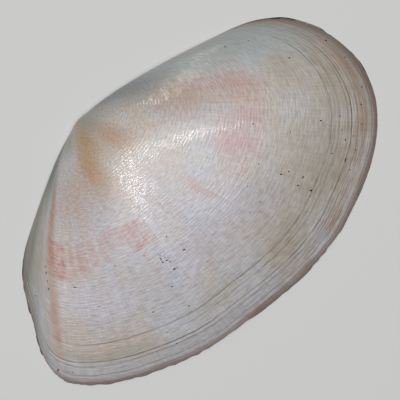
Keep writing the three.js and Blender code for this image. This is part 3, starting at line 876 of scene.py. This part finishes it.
rise = add(porcelain, "ShaderNodeMapRange", {
    "Value": depth, "From Min": BODY_LINE[0], "From Max": BODY_LINE[1]}).outputs[0]
fall = add(porcelain, "ShaderNodeMapRange", {
    "Value": depth, "From Min": BODY_LINE[3], "From Max": BODY_LINE[2]}).outputs[0]
held = add(porcelain, "ShaderNodeMath", {0: rise, 1: fall}, operation="MULTIPLY").outputs[0]
low = add(porcelain, "ShaderNodeSeparateXYZ", {0: place}).outputs[1]
low = add(porcelain, "ShaderNodeMapRange", {
    "Value": low, "From Min": LINE_HEIGHTS[0], "From Max": LINE_HEIGHTS[1]}).outputs[0]
held = add(porcelain, "ShaderNodeMath", {0: held, 1: low}, operation="MULTIPLY").outputs[0]
for x, y, half_width, half_height in SCARS:
    offset = add(porcelain, "ShaderNodeVectorMath", {0: place, 1: (x, y, 0)},
                 operation="SUBTRACT").outputs[0]
    offset = add(porcelain, "ShaderNodeVectorMath", {0: offset, 1: (1 / half_width, 1 / half_height, 0)},
                 operation="MULTIPLY").outputs[0]
    offset = add(porcelain, "ShaderNodeVectorMath", {0: offset}, operation="LENGTH").outputs["Value"]
    scar = add(porcelain, "ShaderNodeMapRange", {
        "Value": offset, "From Min": SCAR_EDGE[0], "From Max": SCAR_EDGE[1]},
        interpolation_type="SMOOTHSTEP").outputs[0]
    held = add(porcelain, "ShaderNodeMath", {0: held, 1: scar}, operation="MAXIMUM").outputs[0]
share = add(porcelain, "ShaderNodeMath", {0: held, 1: SCAR_SHARE}, operation="MULTIPLY").outputs[0]
colour = add(porcelain, "ShaderNodeMix", {0: share, 6: colour, 7: linear(SCAR_GREY)},
             data_type="RGBA").outputs[2]
dull = add(porcelain, "ShaderNodeMapRange", {
    "Value": held, "To Min": PORCELAIN_ROUGHNESS, "To Max": SCAR_ROUGHNESS}).outputs[0]
surface = add(porcelain, "ShaderNodeBsdfPrincipled", {
    "Base Color": colour, "Roughness": dull, "IOR": ARAGONITE_IOR})
add(porcelain, "ShaderNodeOutputMaterial", {"Surface": surface.outputs[0]})
mesh.materials.append(silky)
mesh.materials.append(porcelain)
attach(shell, "root")
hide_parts("right_valve")


# Specks of dried mud.
# Small flat crumbs stuck in pits and grooves of the outside, with a branching one near the
# middle. Pressed a little into the shell.
SPECKS = [                  # x and y of the middle, length and width in millimetres, turn in degrees
    (-9.3, -1.5, 0.22, 0.12, 8), (-9.7, -2.0, 0.40, 0.13, 58), (-9.9, -2.5, 0.35, 0.13, 98),
    (-9.3, -2.8, 0.46, 0.12, -32), (-9.1, -3.3, 0.27, 0.12, -72), (-9.1, -2.3, 0.27, 0.09, -92),
    (-9.6, -4.6, 0.43, 0.17, -26), (-9.2, -4.8, 0.19, 0.11, -52), (-22.0, 11.5, 0.22, 0.14, 28),
    (-22.7, 10.8, 0.35, 0.13, 34), (-24.4, 8.9, 0.30, 0.13, 28), (-23.6, 9.8, 0.22, 0.11, 28),
    (-21.6, 5.8, 0.38, 0.12, -52), (-21.6, 1.0, 0.22, 0.11, -32), (-17.0, -6.2, 0.27, 0.15, -22),
    (-12.0, -6.0, 0.30, 0.11, -42), (-12.8, -10.0, 0.32, 0.13, -32), (-10.9, 0.4, 0.19, 0.11, -22),
    (-6.4, -0.5, 0.24, 0.13, -12), (-6.3, -3.9, 0.30, 0.18, -42), (-13.8, 1.3, 0.16, 0.09, -52),
    (-15.0, 3.0, 0.22, 0.11, -52), (-24.0, -1.5, 0.15, 0.09, -52), (-32.5, -2.2, 0.16, 0.14, -52),
    (-33.7, -0.2, 0.38, 0.19, 8), (-18.7, -12.2, 0.17, 0.12, -52), (-26.7, 9.9, 0.17, 0.12, 28),
    (-18.2, -10.0, 0.17, 0.09, -32), (27.5, 1.9, 0.26, 0.20, -52), (22.8, -8.1, 0.27, 0.20, -52),
    (28.9, -11.5, 0.24, 0.19, -52), (20.5, -15.0, 0.56, 0.18, 28), (13.3, -13.7, 0.43, 0.23, -32),
    (12.6, -11.6, 0.27, 0.19, -22), (14.1, -11.4, 0.38, 0.17, 18), (13.4, -9.1, 0.23, 0.19, -52),
    (12.3, -8.4, 0.32, 0.18, -42), (11.4, -4.7, 0.22, 0.14, -52), (15.7, -0.1, 0.22, 0.13, -52),
    (18.4, -5.5, 0.19, 0.12, 38), (24.2, -13.6, 0.22, 0.12, 38), (26.5, -13.5, 0.20, 0.12, 38),
    (19.9, -12.7, 0.22, 0.13, -52), (19.7, -16.5, 0.24, 0.13, 18), (33.4, -0.9, 0.27, 0.13, -82),
    (33.2, -4.9, 0.22, 0.13, -102), (31.2, -9.9, 0.27, 0.12, 28), (25.3, -10.0, 0.32, 0.13, 34),
    (22.9, -13.0, 0.30, 0.15, 28), (7.6, -5.5, 0.16, 0.12, -52), (6.9, -8.5, 0.15, 0.12, -52),
    (4.6, -8.3, 0.15, 0.12, -52), (22.6, 10.9, 0.24, 0.14, -52), (25.6, 8.6, 0.16, 0.11, -52),
    (22.7, -15.3, 0.27, 0.11, 28), (23.8, -11.6, 0.24, 0.11, 28),
]
SPECK_HEIGHT = 0.06
SPECK_GROWTH = 1.25
SPECK_ROUNDS = 2
SPECK_LUMPS = 0.5
LUMPS_PER_RADIUS = 1.5
MUD_BROWN = "#3C2817"
MUD_ROUGHNESS = 0.9
MUD_IOR = 1.45

crumbs = bmesh.new()
for x, y, length, width, turn in SPECKS:
    hit, normal = finished_valve.ray_cast(Vector((x * MM, y * MM, 1)), Vector((0, 0, -1)))[:2]
    crumb = bmesh.ops.create_icosphere(crumbs, subdivisions=SPECK_ROUNDS, radius=1)["verts"]
    for v in crumb:
        v.co *= 1 + SPECK_LUMPS * noise.noise(v.co * LUMPS_PER_RADIUS + Vector((x, y, 0)))
    half_length, half_width = length * SPECK_GROWTH * MM / 2, width * SPECK_GROWTH * MM / 2
    bmesh.ops.scale(crumbs, verts=crumb, vec=(half_length, half_width, SPECK_HEIGHT * MM))
    lie = Matrix.Translation(hit) @ normal.to_track_quat("Z", "Y").to_matrix().to_4x4()
    spin = Vector((math.cos(math.radians(turn)), math.sin(math.radians(turn)), 0))
    flat = lie.to_3x3().inverted() @ spin
    turned = Matrix.Rotation(math.atan2(flat.y, flat.x), 4, "Z")
    bmesh.ops.transform(crumbs, matrix=lie @ turned, verts=crumb)
bmesh.ops.recalc_face_normals(crumbs, faces=crumbs.faces[:])
mesh = bpy.data.meshes.new("specks")
crumbs.to_mesh(mesh)
crumbs.free()
for face in mesh.polygons:
    face.use_smooth = True
specks = bpy.data.objects.new("specks", mesh)
bpy.context.collection.objects.link(specks)

# Mud, dried: dull and dark, so the crumbs read as small dark dots on the pale shell.
mud = bpy.data.materials.new("mud, dried")
mud.use_nodes = True
mud.node_tree.nodes.clear()
surface = add(mud, "ShaderNodeBsdfPrincipled", {
    "Base Color": linear(MUD_BROWN), "Roughness": MUD_ROUGHNESS, "IOR": MUD_IOR})
add(mud, "ShaderNodeOutputMaterial", {"Surface": surface.outputs[0]})
mesh.materials.append(mud)
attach(specks, "root")


# The stage.
# A plain pale floor of matt card, soft studio light, and a camera straight above the shell,
# turned as the photograph was.
FLOOR_HALF = 3
FLOOR_GREY = "#D8D8D8"
FLOOR_ROUGHNESS = 0.9
floor_mesh = bmesh.new()
bmesh.ops.create_grid(floor_mesh, x_segments=1, y_segments=1, size=FLOOR_HALF)
mesh = bpy.data.meshes.new("floor")
floor_mesh.to_mesh(mesh)
floor_mesh.free()
floor = bpy.data.objects.new("floor", mesh)
bpy.context.collection.objects.link(floor)
card = bpy.data.materials.new("card, matt")
card.use_nodes = True
card.node_tree.nodes.clear()
surface = add(card, "ShaderNodeBsdfPrincipled", {
    "Base Color": linear(FLOOR_GREY), "Roughness": FLOOR_ROUGHNESS})
add(card, "ShaderNodeOutputMaterial", {"Surface": surface.outputs[0]})
mesh.materials.append(card)

CAMERA_AT = Vector((0.00129, -0.00101, 0.35))
CAMERA_TURN = math.radians(-51.5)
CAMERA_LENS = 199
SENSOR_WIDTH = 36
camera_data = bpy.data.cameras.new("camera")
camera_data.lens = CAMERA_LENS
camera_data.sensor_width = SENSOR_WIDTH
camera = bpy.data.objects.new("camera", camera_data)
camera.location = CAMERA_AT
camera.rotation_euler = (0, 0, CAMERA_TURN)
bpy.context.collection.objects.link(camera)
bpy.context.scene.camera = camera

# One wide soft lamp lights the body. Three thin ones make the arc of glints from the beak to
# the middle, and a warm one the glints on the shoulder by the hinge. Each lamp: turn round the
# camera's view, height above the floor and roll about its own axis, in degrees; distance,
# length and width in metres; power in watts; colour.
LAMPS = [
    dict(name="softbox", turn=130, height=87, roll=0, distance=0.9, shape="DISK", length=0.9,
         width=0.9, power=5.6, colour="#FFFFFF"),
    dict(name="strip_left", turn=156, height=72, roll=155, distance=0.88, shape="RECTANGLE",
         length=0.33, width=0.012, power=0.8, colour="#FFFFFF"),
    dict(name="strip_top", turn=88, height=72, roll=6, distance=0.88, shape="RECTANGLE",
         length=0.33, width=0.012, power=0.6, colour="#FFFFFF"),
    dict(name="strip_bottom", turn=-159, height=75, roll=29, distance=0.89, shape="RECTANGLE",
         length=0.26, width=0.012, power=0.38, colour="#FFFFFF"),
    dict(name="shoulder_lamp", turn=107, height=29, roll=125, distance=0.89, shape="RECTANGLE",
         length=0.27, width=0.01, power=0.5, colour="#FFF4D8"),
]
ROOM_LIGHT = 0.04
for lamp in LAMPS:
    light = bpy.data.lights.new(lamp["name"], "AREA")
    light.shape = lamp["shape"]
    light.size = lamp["length"]
    light.size_y = lamp["width"]
    light.energy = lamp["power"]
    light.color = linear(lamp["colour"])[:3]
    holder = bpy.data.objects.new(lamp["name"], light)
    turn, height = math.radians(lamp["turn"]) + CAMERA_TURN, math.radians(lamp["height"])
    direction = Vector((math.cos(height) * math.cos(turn), math.cos(height) * math.sin(turn),
                        math.sin(height)))
    holder.location = direction * lamp["distance"]
    rolled = Matrix.Rotation(math.radians(lamp["roll"]), 3, "Z")
    facing = direction.to_track_quat("Z", "Y").to_matrix() @ rolled
    holder.rotation_euler = facing.to_euler()
    bpy.context.collection.objects.link(holder)

sky = bpy.data.worlds.new("studio")
sky.use_nodes = True
sky.node_tree.nodes["Background"].inputs["Color"].default_value = linear("#FFFFFF")
sky.node_tree.nodes["Background"].inputs["Strength"].default_value = ROOM_LIGHT
bpy.context.scene.world = sky
bpy.context.scene.view_settings.view_transform = "Standard"
